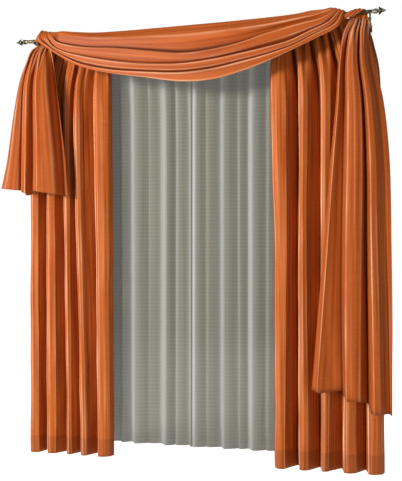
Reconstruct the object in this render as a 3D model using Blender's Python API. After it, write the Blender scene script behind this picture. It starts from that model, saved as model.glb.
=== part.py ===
"""Curtain set on a rod: two opaque panels, a sheer between them and a one-piece scarf.

Metres, +Z up, +X right, +Y towards the wall. The origin is the middle of the front rod's axis.
Every cloth is a smooth sheet over a small net of points worked out from short tables,
one row for each fold or section, and then given its thickness.
"""
import math

import bmesh
import bpy
import numpy as np

# Rods, all with their axes at the height of the origin
FRONT_ROD_RADIUS = 0.0095
FRONT_ROD_END = 0.985
BACK_ROD_RADIUS = 0.008
PANEL_ROD_Y = 0.105
VOILE_ROD_Y = 0.190
BACK_ROD_LEFT = -0.953
BACK_ROD_RIGHT = 0.987

# Brackets
WALL_Y = 0.240
BRACKET_X = {"left": -0.945, "right": 0.979}
ARM_WIDTH = 0.010
ARM_TOP = -0.004
ARM_BOTTOM = -0.016
ARM_FRONT_Y = -0.015
PLATE_SIZE = (0.022, 0.005, 0.040)

# Finials
FINIAL_TIP = 1.062
FINIAL_PROFILE = [
    # distance outward from the rod's end, radius
    (0.0003, 0.0100), (0.0130, 0.0100), (0.0150, 0.0130), (0.0320, 0.0130), (0.0350, 0.0085),
    (0.0410, 0.0080), (0.0380, 0.0195), (0.0410, 0.0200), (0.0560, 0.0115), (0.0700, 0.0045),
]

# Cloth
GAP = 0.0003
PANEL_THICKNESS = 0.0012
VOILE_THICKNESS = 0.0010
SCARF_THICKNESS = 0.0010
PANEL_HEM_Z = -2.440
VOILE_HEM_Z = -2.378
POCKET_PLEAT = 0.013


def curve_weights(spans, crisp=0.0):
    """Weights that run a smooth curve through control points, with spans[i] samples after point i.

    On each span the curve is the Catmull-Rom cubic of its two ends and their two neighbours,
    and at the ends the missing neighbour is the mirror image of the next point. crisp is
    the share of straight lines between the points that is blended in.
    """
    count = len(spans) + 1
    rows = []
    for span, samples in enumerate(spans):
        for step in range(samples):
            t = step / samples
            w = 0.5 * np.array([-t + 2 * t**2 - t**3, 2 - 5 * t**2 + 3 * t**3,
                                t + 4 * t**2 - 3 * t**3, -t**2 + t**3])
            line = np.array([0.0, 1 - t, t, 0.0])
            row = np.zeros(count + 2)
            row[span:span + 4] += (1 - crisp) * w + crisp * line
            rows.append(row)
    last = np.zeros(count + 2)
    last[count] = 1.0
    rows.append(last)
    weights = np.array(rows)
    weights[:, 1] += 2 * weights[:, 0]
    weights[:, 2] -= weights[:, 0]
    weights[:, -2] += 2 * weights[:, -1]
    weights[:, -3] -= weights[:, -1]
    return weights[:, 1:-1]


def surface(net, row_spans, column_spans, crisp):
    """Surface through a net of points: the curve weights down it times those across it."""
    down = curve_weights(row_spans)
    across = curve_weights(column_spans, crisp)
    return np.einsum("ri,ijk,cj->rck", down, net, across)


def material(name, colour, roughness, metallic=0.0):
    mat = bpy.data.materials.new(name)
    mat.use_nodes = True
    shader = mat.node_tree.nodes["Principled BSDF"]
    shader.inputs["Base Color"].default_value = (*colour, 1.0)
    shader.inputs["Roughness"].default_value = roughness
    shader.inputs["Metallic"].default_value = metallic
    return mat


def add_object(name, vertices, faces, mat, sharp_degrees=40):
    mesh = bpy.data.meshes.new(name)
    mesh.from_pydata([tuple(v) for v in vertices], [], [tuple(f) for f in faces])
    mesh.materials.append(mat)
    mesh.shade_smooth()
    mesh.set_sharp_from_angle(angle=math.radians(sharp_degrees))
    obj = bpy.data.objects.new(name, mesh)
    bpy.context.scene.collection.objects.link(obj)
    return obj


def cloth(name, net, row_spans, column_spans, thickness, mat, crisp=0.0):
    """A sheet through the net, thickened evenly to both sides of it."""
    grid = surface(net, row_spans, column_spans, crisp)
    rows, columns = grid.shape[:2]
    index = np.arange(rows * columns).reshape(rows, columns)
    faces = np.stack([index[:-1, :-1], index[1:, :-1], index[1:, 1:], index[:-1, 1:]], -1)
    obj = add_object(name, grid.reshape(-1, 3), faces.reshape(-1, 4), mat, 180)
    solid = obj.modifiers.new("thickness", "SOLIDIFY")
    solid.thickness = thickness
    solid.offset = 0.0
    return obj


def tube_along_x(name, left, right, radius, y, mat, sides=24):
    mesh = bmesh.new()
    bmesh.ops.create_cone(mesh, cap_ends=True, segments=sides, radius1=radius, radius2=radius,
                          depth=right - left)
    obj_mesh = bpy.data.meshes.new(name)
    mesh.to_mesh(obj_mesh)
    mesh.free()
    obj_mesh.materials.append(mat)
    obj_mesh.shade_smooth()
    obj_mesh.set_sharp_from_angle(angle=math.radians(40))
    obj = bpy.data.objects.new(name, obj_mesh)
    obj.location = ((left + right) / 2, y, 0.0)
    obj.rotation_euler = (0.0, math.radians(90), 0.0)
    bpy.context.scene.collection.objects.link(obj)
    return obj


def finial(name, side, mat, sides=24):
    """Turned round the rod's axis: rings of the profile, closed by a flat back and a point."""
    profile = np.array(FINIAL_PROFILE)
    angle = np.arange(sides) * 2 * math.pi / sides
    x = FRONT_ROD_END + profile[:, 0]
    ring = np.stack([np.cos(angle), np.sin(angle)], -1)
    points = np.empty((len(x), sides, 3))
    points[..., 0] = x[:, None]
    points[..., 1:] = profile[:, 1, None, None] * ring
    vertices = np.vstack([points.reshape(-1, 3), [[x[0], 0, 0], [FINIAL_TIP, 0, 0]]])
    back, tip = len(vertices) - 2, len(vertices) - 1
    faces = []
    for i in range(sides):
        j = (i + 1) % sides
        faces.append((back, j, i))
        for k in range(len(x) - 1):
            a = k * sides
            faces.append((a + i, a + j, a + sides + j, a + sides + i))
        a = (len(x) - 1) * sides
        faces.append((a + i, a + j, tip))
    if side < 0:
        vertices[:, 0] *= -1
        faces = [face[::-1] for face in faces]
    return add_object(name, vertices, faces, mat)


def saddle(y, rod_radius, steps=8):
    """Points of the arm's round notch under a rod, from its front lip to its back lip."""
    radius = rod_radius + GAP
    open_angle = math.asin(-ARM_TOP / radius)
    angles = np.linspace(math.pi + open_angle, 2 * math.pi - open_angle, steps + 1)
    return [(y + radius * math.cos(a), radius * math.sin(a)) for a in angles]


def bracket(name, x, mat):
    """Arm cut from bar with three notches, joined to a wall plate."""
    outline = [(ARM_FRONT_Y, ARM_BOTTOM), (ARM_FRONT_Y, ARM_TOP)]
    for y, radius in ((0.0, FRONT_ROD_RADIUS), (PANEL_ROD_Y, BACK_ROD_RADIUS),
                      (VOILE_ROD_Y, BACK_ROD_RADIUS)):
        outline += saddle(y, radius)
    plate_front = WALL_Y - PLATE_SIZE[1]
    outline += [(plate_front + 0.002, ARM_TOP), (plate_front + 0.002, ARM_BOTTOM)]
    mesh = bmesh.new()
    face = mesh.faces.new([mesh.verts.new((x - ARM_WIDTH / 2, y, z)) for y, z in outline])
    extruded = bmesh.ops.extrude_face_region(mesh, geom=[face])["geom"]
    moved = [v for v in extruded if isinstance(v, bmesh.types.BMVert)]
    bmesh.ops.translate(mesh, vec=(ARM_WIDTH, 0, 0), verts=moved)
    bmesh.ops.recalc_face_normals(mesh, faces=mesh.faces)
    arm_mesh = bpy.data.meshes.new(name)
    mesh.to_mesh(arm_mesh)
    mesh.free()
    arm_mesh.materials.append(mat)
    arm = bpy.data.objects.new(name, arm_mesh)
    bpy.context.scene.collection.objects.link(arm)
    box = bmesh.new()
    bmesh.ops.create_cube(box, size=1.0)
    bmesh.ops.scale(box, vec=PLATE_SIZE, verts=box.verts)
    bmesh.ops.translate(box, vec=(x, WALL_Y - PLATE_SIZE[1] / 2, -0.010), verts=box.verts)
    plate_mesh = bpy.data.meshes.new(name + "_plate")
    box.to_mesh(plate_mesh)
    box.free()
    plate = bpy.data.objects.new(name + "_plate", plate_mesh)
    plate.hide_render = True
    plate.display_type = "WIRE"
    bpy.context.scene.collection.objects.link(plate)
    union = arm.modifiers.new("plate", "BOOLEAN")
    union.operation = "UNION"
    union.object = plate
    return arm


# Hung curtains

# Each panel fold: the ridge's left and right side at 0.4 m down, half way and the hem,
# its front and the valley that follows it
PANEL_FOLDS = {
    "left": [
        # left_top, left_mid, left_hem, right_top, right_mid, right_hem, front_y, valley_y
        (-0.998, -1.004, -1.001, -0.955, -0.953, -0.946, 0.058, 0.150),
        (-0.895, -0.896, -0.893, -0.846, -0.842, -0.836, 0.055, 0.148),
        (-0.792, -0.781, -0.767, -0.757, -0.749, -0.735, 0.060, 0.140),
        (-0.726, -0.704, -0.675, -0.676, -0.657, -0.628, 0.056, 0.150),
        (-0.599, -0.580, -0.567, -0.512, -0.506, -0.498, 0.057, 0.105),
    ],
    "right": [
        (0.449, 0.473, 0.477, 0.532, 0.538, 0.528, 0.057, 0.150),
        (0.603, 0.600, 0.603, 0.650, 0.646, 0.655, 0.055, 0.145),
        (0.722, 0.723, 0.724, 0.775, 0.770, 0.765, 0.058, 0.148),
        (0.838, 0.838, 0.841, 0.908, 0.901, 0.910, 0.055, 0.150),
        (0.958, 0.958, 0.970, 1.026, 1.031, 1.044, 0.060, 0.110),
    ],
}
PANEL_VALLEY_LEAD = {"left": 0.020, "right": 0.012}
PANEL_HEADING = {"left": (-0.925, -0.505), "right": (0.455, 0.962)}
PANEL_EDGE = {"left": (-0.006, 0.014), "right": (-0.010, 0.012)}

# Height below the rod's axis and how far the small gathers have opened into the folds
HANG_ROWS = [(-0.030, 0.00), (-0.070, 0.22), (-0.150, 0.52), (-0.330, 0.93)]
# Angle round the rod from the back over the top to the front, and the pleats' share there
POCKET_ROWS = [(-45, 0.3), (5, 0.9), (48, 1.0), (90, 1.0), (132, 1.0), (175, 1.0)]

VOILE_FOLDS = [
    # ridge_x, width, front_y
    (-0.860, 0.022, 0.163), (-0.765, 0.030, 0.182), (-0.680, 0.024, 0.164),
    (-0.580, 0.030, 0.180), (-0.476, 0.022, 0.178), (-0.403, 0.024, 0.162),
    (-0.300, 0.034, 0.184), (-0.214, 0.036, 0.161), (-0.122, 0.024, 0.182),
    (-0.035, 0.026, 0.162), (0.070, 0.030, 0.180), (0.144, 0.020, 0.162),
    (0.246, 0.030, 0.183), (0.309, 0.024, 0.161), (0.413, 0.028, 0.178),
    (0.500, 0.030, 0.164), (0.600, 0.030, 0.182), (0.690, 0.026, 0.163),
    (0.790, 0.032, 0.181), (0.870, 0.024, 0.163),
]
VOILE_VALLEY_Y = 0.214
VOILE_HEADING = (-0.905, 0.935)


def hanging_net(columns_at, heading, rod_y, thickness, pleat_columns, lower_rows):
    """Net of a curtain on a rod pocket.

    columns_at(share) gives x and y of every column at a share of the drop, 0 at 0.4 m down
    and 1 at the hem. The pocket goes up the back of the rod, over it and down its front,
    and from there the gathers open into the folds.
    """
    seat = (BACK_ROD_RADIUS + GAP + thickness / 2) / math.cos(math.radians(25))
    fold_x, fold_y = columns_at(0.0)
    heading_x = np.linspace(*heading, len(fold_x))
    rows = []
    for degrees, share in POCKET_ROWS:
        radius = seat + POCKET_PLEAT * share * pleat_columns
        angle = math.radians(degrees)
        rows.append((heading_x, rod_y + radius * math.cos(angle), radius * math.sin(angle)))
    gather_y = rod_y - seat - POCKET_PLEAT * pleat_columns
    for z, share in HANG_ROWS:
        rows.append((heading_x + (fold_x - heading_x) * share,
                     gather_y + (fold_y - gather_y) * share, np.full(len(fold_x), z)))
    for share, z in lower_rows:
        x, y = columns_at(share)
        rows.append((x, y, np.full(len(x), z)))
    return np.array([np.stack(row, -1) for row in rows])


def panel_columns(side, share):
    """Four columns a fold: ridge left, ridge middle, ridge right and the valley after it."""
    table = np.array(PANEL_FOLDS[side])
    left = np.array([np.interp(share, (0.0, 0.5, 1.0), row[0:3]) for row in table])
    right = np.array([np.interp(share, (0.0, 0.5, 1.0), row[3:6]) for row in table])
    front, back = table[:, 6], table[:, 7]
    edge_left, edge_right = PANEL_EDGE[side]
    valley = np.append(left[1:] - PANEL_VALLEY_LEAD[side], right[-1] + edge_right)
    x = np.stack([left, (left + right) / 2, right, valley], -1).ravel()
    y = np.stack([front, front - 0.006, front + 0.004, back], -1).ravel()
    return np.append(left[0] + edge_left, x), np.append(0.095, y)


def voile_columns(share):
    """Three columns a fold: ridge left, ridge right and the valley after it."""
    table = np.array(VOILE_FOLDS)
    x, width, front = table.T
    sway = 0.006 * share * np.sin(9 * x)
    left = x + sway
    right = left + width
    valley = np.append(left[1:] - 0.016, right[-1] + 0.020)
    columns = np.stack([left, right, valley], -1).ravel()
    depth = np.stack([front, front + 0.003, np.full(len(x), VOILE_VALLEY_Y)], -1).ravel()
    return np.append(left[0] - 0.020, columns), np.append(0.200, depth)


def alternate(count):
    """1 at every second column, the crests of the small gathers, and 0 between them."""
    return (np.arange(count) % 2).astype(float)


def panel(name, side, mat):
    lower = [(0.45, -1.20), (0.80, -1.90), (0.96, -2.33), (1.0, PANEL_HEM_Z)]
    count = len(panel_columns(side, 0.0)[0])
    net = hanging_net(lambda share: panel_columns(side, share), PANEL_HEADING[side],
                      PANEL_ROD_Y, PANEL_THICKNESS, alternate(count), lower)
    return cloth(name, net, [1] * (len(net) - 1), [2] * (count - 1), PANEL_THICKNESS, mat)


def voile(name, mat):
    lower = [(0.5, -1.30), (1.0, VOILE_HEM_Z)]
    count = len(voile_columns(0.0)[0])
    net = hanging_net(voile_columns, VOILE_HEADING, VOILE_ROD_Y, VOILE_THICKNESS,
                      alternate(count), lower)
    return cloth(name, net, [1] * (len(net) - 1), [1] * (count - 1), VOILE_THICKNESS, mat)


# Scarf

SCARF_COLUMNS = 16
SCARF_CRISP = 0.6

# Heights of the swag's top, its four fold ridges and its lower edge along the rod,
# and how far its folds stand out there
SWAG_LINES = np.array([
    # x, top, ridge_a, ridge_b, ridge_c, ridge_d, low, stand_out
    (-0.900, 0.054, 0.040, 0.022, 0.006, -0.008, -0.018, 0.45),
    (-0.800, 0.045, 0.018, -0.024, -0.058, -0.076, -0.090, 0.55),
    (-0.700, 0.032, 0.000, -0.060, -0.112, -0.145, -0.156, 0.70),
    (-0.560, 0.018, -0.026, -0.088, -0.150, -0.205, -0.222, 0.85),
    (-0.370, 0.013, -0.040, -0.108, -0.194, -0.242, -0.260, 0.95),
    (-0.200, 0.013, -0.047, -0.140, -0.216, -0.262, -0.292, 1.00),
    (-0.030, 0.013, -0.054, -0.163, -0.224, -0.277, -0.322, 1.00),
    (0.130, 0.013, -0.053, -0.156, -0.216, -0.272, -0.328, 1.00),
    (0.300, 0.014, -0.046, -0.128, -0.192, -0.243, -0.294, 0.95),
    (0.450, 0.016, -0.035, -0.084, -0.166, -0.210, -0.244, 0.85),
    (0.580, 0.019, -0.018, -0.055, -0.134, -0.170, -0.190, 0.72),
    (0.680, 0.030, -0.002, -0.034, -0.088, -0.122, -0.146, 0.60),
    (0.760, 0.036, 0.006, -0.018, -0.052, -0.080, -0.104, 0.50),
    (0.850, 0.028, 0.006, -0.010, -0.030, -0.046, -0.062, 0.42),
])
# Where each section of the swag crosses its top and its lower edge
SWAG_SECTIONS = [(-0.735, -0.845), (-0.650, -0.760), (-0.540, -0.630), (-0.390, -0.450),
                 (-0.210, -0.240), (-0.030, -0.030), (0.130, 0.150), (0.280, 0.320),
                 (0.400, 0.470), (0.500, 0.600), (0.570, 0.700), (0.620, 0.790)]
# How far in front of the rod's axis each line of the swag lies where it stands out fully,
# on the swag's left part and on its right part
SWAG_DEPTH = {
    "ridge_a": (-0.045, -0.045), "valley_ab": (-0.036, -0.010), "ridge_b": (-0.072, -0.074),
    "under_b": (-0.068, -0.066), "valley_bc": (-0.060, -0.026), "ridge_c": (-0.092, -0.092),
    "under_c": (-0.084, -0.086), "valley_cd": (-0.050, -0.066), "ridge_d": (-0.104, -0.104),
    "low": (-0.088, -0.088), "tuck": (-0.060, -0.060),
}
SWAG_PARTS_X = (-0.250, 0.250)
# Distance from the rod's axis of each column of the gathered cloth
PLEATS_LEFT = np.array([0.014, 0.030, 0.040, 0.041, 0.043, 0.044, 0.043, 0.046,
                        0.047, 0.045, 0.050, 0.052, 0.051, 0.058, 0.046, 0.016])
PLEATS_RIGHT = np.array([0.014, 0.016, 0.025, 0.031, 0.038, 0.038, 0.032, 0.035,
                         0.033, 0.027, 0.029, 0.026, 0.020, 0.022, 0.019, 0.014])
PLEATS_TURN = np.array([0.0110, 0.014, 0.016, 0.014, 0.017, 0.020, 0.019, 0.016,
                        0.018, 0.021, 0.020, 0.016, 0.015, 0.017, 0.016, 0.0112])
TURN_SAG = 0.55
# Angle round the rod, from its back over its top, at which each column leaves the gather
LEAVE_ANGLE = np.array([-15, 15, 50, 90, 125, 145, 155, 160,
                        165, 170, 174, 178, 182, 186, 190, 194])
# A tail's columns, from its inner edge to its outer edge: share of its width and depth,
# and at the hem how much higher than a straight line the cloth ends
TAIL_LEFT_TOP = np.array([
    (0.000, -0.006), (0.035, 0.012), (0.085, 0.036), (0.230, -0.026), (0.400, -0.046),
    (0.454, -0.050), (0.528, -0.042), (0.592, -0.026), (0.628, -0.004), (0.666, -0.034),
    (0.724, -0.044), (0.830, -0.034), (0.862, -0.006), (0.885, -0.030), (0.930, -0.034),
    (1.000, -0.018)])
TAIL_LEFT_HEM = np.array([
    (0.000, -0.012, 0.000), (0.045, 0.008, 0.002), (0.090, 0.034, 0.004),
    (0.185, -0.030, 0.005), (0.366, -0.056, 0.012), (0.408, -0.062, 0.012),
    (0.464, -0.050, 0.012), (0.505, -0.026, 0.012), (0.542, -0.004, -0.010),
    (0.584, -0.038, -0.024), (0.604, -0.052, -0.016), (0.676, -0.034, -0.008),
    (0.712, 0.004, 0.000), (0.748, -0.026, -0.006), (0.910, -0.048, -0.003),
    (1.000, -0.020, 0.000)])
TAIL_RIGHT_TOP = np.array([
    (0.000, -0.026), (0.050, -0.044), (0.086, -0.036), (0.178, -0.004), (0.208, -0.026),
    (0.260, -0.052), (0.400, -0.054), (0.525, -0.038), (0.552, -0.002), (0.578, 0.020),
    (0.606, -0.026), (0.650, -0.052), (0.740, -0.038), (0.814, 0.008), (0.870, -0.038),
    (1.000, -0.008)])
TAIL_RIGHT_HEM = np.array([
    (0.000, -0.030, 0.000), (0.070, -0.050, 0.000), (0.100, -0.044, 0.000),
    (0.380, -0.004, 0.023), (0.398, -0.026, 0.018), (0.435, -0.054, -0.009),
    (0.529, -0.056, -0.002), (0.615, -0.042, 0.008), (0.650, -0.002, 0.007),
    (0.705, 0.020, 0.005), (0.742, -0.034, -0.029), (0.780, -0.054, -0.022),
    (0.856, -0.044, -0.016), (0.926, -0.006, -0.008), (0.969, 0.004, 0.000),
    (1.000, -0.012, 0.000)])
LEFT_TAIL_ROWS = [
    # z, inner_x, outer_x, how far its columns have spread, how deep its folds are, hem_share
    (-0.024, -0.843, -0.937, 0.15, 0.12, 0.0), (-0.055, -0.840, -0.974, 0.45, 0.30, 0.0),
    (-0.110, -0.828, -0.996, 0.80, 0.60, 0.0),
    (-0.250, -0.806, -1.036, 1.00, 1.00, 0.1), (-0.450, -0.778, -1.074, 1.00, 1.00, 0.4),
    (-0.700, -0.746, -1.112, 1.00, 1.00, 0.7),
]
LEFT_HEM = (-0.925, -0.866, -0.728, -1.149)
RIGHT_TAIL_ROWS = [
    # z, inner_x, outer_x, how far its columns have spread, how deep its folds are, hem_share
    (-0.024, 0.888, 0.970, 0.20, 0.20, 0.0), (-0.055, 0.874, 0.980, 0.55, 0.50, 0.0),
    (-0.120, 0.843, 0.984, 0.85, 0.80, 0.0),
    (-0.260, 0.818, 1.000, 1.00, 0.90, 0.0), (-0.480, 0.804, 1.050, 1.00, 1.00, 0.0),
    (-0.800, 0.774, 1.080, 1.00, 1.00, 0.2), (-1.200, 0.744, 1.088, 1.00, 1.00, 0.4),
    (-1.620, 0.709, 1.093, 1.00, 1.00, 0.7),
]
RIGHT_HEM = (-1.985, -2.112, 0.679, 1.092)
TAIL_TOP_Y = 0.026
# Where the gathered cloth crosses the rod between the back, 0, and the swag, 1
GATHER_LEFT = [
    # part, inner_x, outer_x, how its columns crowd (above 1 to the inside), pleats stand out
    (0.0, -0.842, -0.934, 1.0, 0.50), (0.33, -0.832, -0.908, 1.3, 0.85),
    (0.66, -0.815, -0.904, 1.8, 1.00), (1.0, -0.795, -0.928, 2.2, 1.00),
]
GATHER_RIGHT = [
    # part, left_x, right_x, how its columns crowd (below 1 towards right_x)
    (1.0, 0.660, 0.840, 0.9), (0.66, 0.688, 0.848, 0.9), (0.33, 0.714, 0.854, 0.95),
]
TURN_ROWS = [
    # degrees round the rod, left_x, right_x
    (-10, 0.735, 0.860), (-70, 0.785, 0.880), (-130, 0.840, 0.910), (-190, 0.862, 0.936),
    (-250, 0.880, 0.954), (-310, 0.892, 0.962), (-365, 0.900, 0.966),
]


def along(low, high):
    return np.linspace(low, high, SCARF_COLUMNS)


def crowded(first, last, crowd):
    """Columns from first to last whose even shares are raised to a power."""
    return first + (last - first) * along(0.0, 1.0) ** crowd


def swag_row(x_top, x_low):
    """From the short flap behind the rod over it and down the swag's folds to its edge."""
    x = along(x_top, x_low)
    lines = [np.interp(x, SWAG_LINES[:, 0], column) for column in SWAG_LINES.T[1:]]
    top, a, b, c, d, low, out = lines
    seat = (FRONT_ROD_RADIUS + GAP + SCARF_THICKNESS / 2) / math.cos(math.radians(20))
    crown = np.maximum(top, seat)
    y = np.empty(SCARF_COLUMNS)
    z = np.empty(SCARF_COLUMNS)
    y[0], z[0] = seat + 0.004, 0.021 - 0.073 * out[0]
    for column, degrees, radius in ((1, 0, seat), (2, 58, crown[2]), (3, 120, 1.08 * crown[3])):
        y[column] = radius * math.cos(math.radians(degrees))
        z[column] = radius * math.sin(math.radians(degrees))
    y[4], z[4] = -0.027, (top[4] + 1.2 * a[4]) / 2.2
    lower = [("ridge_a", a), ("valley_ab", b + 0.22 * (a - b)), ("ridge_b", b),
             ("under_b", b - 0.60 * (b - c)), ("valley_bc", c + 0.22 * (b - c)),
             ("ridge_c", c), ("under_c", c - 0.58 * (c - d)), ("valley_cd", d + 0.25 * (c - d)),
             ("ridge_d", d), ("low", low), ("tuck", low + 0.30 * (d - low) + 0.010)]
    for column, (line, height) in enumerate(lower, start=5):
        y[column] = np.interp(x[column], SWAG_PARTS_X, SWAG_DEPTH[line]) * out[column]
        z[column] = height[column]
    return np.stack([x, y, z], -1)


def gathered_row(x, degrees, pleats):
    """Pleats lying round the rod at an angle, given for the row or for each column."""
    angle = np.radians(degrees)
    return np.stack([x, pleats * np.cos(angle), pleats * np.sin(angle)], -1)


def tail_row(z, edges, profile, spread=1.0, depth_share=1.0):
    """A tail's section: near the top its columns are even and drawn in behind the rod."""
    even = along(0.0, 1.0)
    x = edges[0] + (edges[1] - edges[0]) * (even + (profile[:, 0] - even) * spread)
    y = TAIL_TOP_Y + (profile[:, 1] - TAIL_TOP_Y) * depth_share
    return np.stack([x, y, np.broadcast_to(z, x.shape)], -1)


def tail(top, hem, table, hem_line):
    """A tail's sections from the rod down to its hem."""
    rows = []
    for z, inner, outer, spread, depth_share, hem_share in table:
        profile = top + (hem[:, :2] - top) * hem_share
        rows.append(tail_row(z, (inner, outer), profile, spread, depth_share))
    inner_z, outer_z, inner_x, outer_x = hem_line
    rows.append(tail_row(along(inner_z, outer_z) + hem[:, 2], (inner_x, outer_x), hem))
    return rows


def scarf_net():
    rows = tail(TAIL_LEFT_TOP, TAIL_LEFT_HEM, LEFT_TAIL_ROWS, LEFT_HEM)[::-1]
    for part, inner, outer, crowd, bunch in GATHER_LEFT:
        angle = -10 + (LEAVE_ANGLE + 10) * part
        pleats = PLEATS_LEFT[0] + (PLEATS_LEFT - PLEATS_LEFT[0]) * bunch
        rows.append(gathered_row(crowded(inner, outer, crowd), angle, pleats))
    rows += [swag_row(*section) for section in SWAG_SECTIONS]
    for part, left, right, crowd in GATHER_RIGHT:
        angle = -10 + (LEAVE_ANGLE + 10) * part
        rows.append(gathered_row(crowded(left, right, crowd), angle, PLEATS_RIGHT))
    for degrees, left, right in TURN_ROWS:
        sag = 1 + TURN_SAG * max(0.0, -math.sin(math.radians(degrees)))
        pleats = PLEATS_TURN[0] + (PLEATS_TURN - PLEATS_TURN[0]) * sag
        rows.append(gathered_row(along(left, right), degrees, pleats))
    rows += tail(TAIL_RIGHT_TOP, TAIL_RIGHT_HEM, RIGHT_TAIL_ROWS, RIGHT_HEM)
    return np.array(rows)


def scarf(name, mat):
    net = scarf_net()
    row_spans = [1] * (len(net) - 1)
    first_turn = len(net) - 1 - len(RIGHT_TAIL_ROWS) - len(TURN_ROWS)
    row_spans[first_turn:first_turn + len(TURN_ROWS)] = [2] * len(TURN_ROWS)
    return cloth(name, net, row_spans, [2] * (SCARF_COLUMNS - 1), SCARF_THICKNESS, mat,
                 SCARF_CRISP)


def build():
    for obj in list(bpy.data.objects):
        bpy.data.objects.remove(obj)
    taffeta = material("terracotta_taffeta", (0.56, 0.10, 0.02), 0.42)
    sheer = material("grey_voile", (0.26, 0.26, 0.22), 0.7)
    bronze = material("dark_bronze", (0.10, 0.085, 0.05), 0.35, 1.0)
    tube_along_x("front_rod", -FRONT_ROD_END, FRONT_ROD_END, FRONT_ROD_RADIUS, 0.0, bronze)
    tube_along_x("panel_rod", BACK_ROD_LEFT, BACK_ROD_RIGHT, BACK_ROD_RADIUS, PANEL_ROD_Y, bronze)
    tube_along_x("voile_rod", BACK_ROD_LEFT, BACK_ROD_RIGHT, BACK_ROD_RADIUS, VOILE_ROD_Y, bronze)
    finial("finial_left", -1, bronze)
    finial("finial_right", 1, bronze)
    for side, x in BRACKET_X.items():
        bracket("bracket_" + side, x, bronze)
    panel("panel_left", "left", taffeta)
    panel("panel_right", "right", taffeta)
    voile("voile", sheer)
    scarf("scarf", taffeta)


build()
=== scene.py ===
# %% [markdown]
# A window dressing on one rod: two opaque taffeta panels, a grey sheer behind them and a
# long scarf thrown over the front rod as a swag with two tails. This file dresses the packed
# model: the rods, brackets and cloths are already in place as solids, and every piece below
# is a finer surface in the same place, with the finish of the real material.

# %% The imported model
import math

import bpy
import numpy as np
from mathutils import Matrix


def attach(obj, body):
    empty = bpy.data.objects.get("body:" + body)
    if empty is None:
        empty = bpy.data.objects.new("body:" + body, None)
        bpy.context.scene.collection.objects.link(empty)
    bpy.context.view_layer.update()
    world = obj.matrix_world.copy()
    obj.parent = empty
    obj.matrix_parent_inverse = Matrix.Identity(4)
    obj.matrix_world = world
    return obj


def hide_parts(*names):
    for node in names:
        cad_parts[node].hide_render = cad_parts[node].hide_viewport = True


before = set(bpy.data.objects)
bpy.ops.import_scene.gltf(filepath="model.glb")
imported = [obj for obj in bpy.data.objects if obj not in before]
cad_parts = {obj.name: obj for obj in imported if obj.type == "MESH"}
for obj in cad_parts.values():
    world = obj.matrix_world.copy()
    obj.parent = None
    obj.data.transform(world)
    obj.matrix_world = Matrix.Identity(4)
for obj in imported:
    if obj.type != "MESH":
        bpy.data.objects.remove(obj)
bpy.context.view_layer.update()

# %% [markdown]
# The camera comes first, because every fold is judged through it. The photograph was taken
# from the right, level, at about half the curtain's height. A level camera whose frame is
# shifted keeps the vertical folds upright, which tilting it would not.

# %% Camera
PHOTO_HEIGHT = 481
FOCAL_PIXELS = 694.6
HORIZON_ROW = 274.4
SENSOR_MM = 36.0
CAMERA_PLACE = (1.0006, -3.7406, -1.3753)
CAMERA_TURN = 14.0

lens = bpy.data.cameras.new("photo_camera")
lens.sensor_width = SENSOR_MM
lens.lens = FOCAL_PIXELS / PHOTO_HEIGHT * SENSOR_MM
lens.shift_y = (HORIZON_ROW - PHOTO_HEIGHT / 2) / PHOTO_HEIGHT
camera = bpy.data.objects.new("photo_camera", lens)
camera.location = CAMERA_PLACE
camera.rotation_euler = (math.radians(90), 0.0, math.radians(CAMERA_TURN))
bpy.context.scene.collection.objects.link(camera)
bpy.context.scene.camera = camera
print("lens", round(lens.lens, 1), "mm, frame shifted by", round(lens.shift_y, 3))

# %% [markdown]
# Cloth that hangs is a surface of two parameters: one runs across the cloth and one down it.
# A small net of points says where its folds are, and a smooth curve through the points in
# both directions gives the sheet. The curve passes through its points, so each number in
# the tables is a place that can be measured on the real curtain.

# %% A smooth surface through a net of points
def curve_weights(count, at):
    """Share of each of count control points in the curve at the parameters at.

    Between two points the curve is the Catmull-Rom cubic of those two and their two
    neighbours. At either end the missing neighbour is the mirror image of the next point.
    """
    span = np.minimum(at.astype(int), count - 2)
    t = at - span
    share = 0.5 * np.stack([-t + 2 * t**2 - t**3, 2 - 5 * t**2 + 3 * t**3,
                            t + 4 * t**2 - 3 * t**3, -t**2 + t**3], -1)
    weights = np.zeros((len(at), count + 2))
    weights[np.arange(len(at))[:, None], span[:, None] + np.arange(4)] = share
    weights[:, 1] += 2 * weights[:, 0]
    weights[:, 2] -= weights[:, 0]
    weights[:, -2] += 2 * weights[:, -1]
    weights[:, -3] -= weights[:, -1]
    return weights[:, 1:-1]


def line_weights(count, at):
    """The same for straight lines between the points: 1 at a point, falling to 0 at the next."""
    return np.clip(1 - np.abs(at[:, None] - np.arange(count)), 0, 1)


def surface(net, down_steps, across_steps, crisp):
    """The net's points blended down it and across it, with so many steps a span.

    Across the cloth, crisp is the share of the straight lines in the blend: 0 gives round
    folds and 1 gives flat faces with sharp creases.
    """
    rows, columns = net.shape[:2]
    down = curve_weights(rows, np.linspace(0, rows - 1, (rows - 1) * down_steps + 1))
    at = np.linspace(0, columns - 1, (columns - 1) * across_steps + 1)
    across = (1 - crisp) * curve_weights(columns, at) + crisp * line_weights(columns, at)
    return np.einsum("ri,ijk,cj->rck", down, net, across)


def normals(grid):
    """Unit vectors square to the sheet: the cross product of its two directions."""
    across = np.gradient(grid, axis=1)
    down = np.gradient(grid, axis=0)
    square = np.cross(down, across)
    return square / np.maximum(np.linalg.norm(square, axis=-1, keepdims=True), 1e-9)


def lengths(grid, axis):
    """Distance in metres from the grid's first line to each of its lines, as a mean."""
    steps = np.linalg.norm(np.diff(grid, axis=axis), axis=-1).mean(axis=1 - axis)
    return np.append(0.0, np.cumsum(steps))


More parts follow.
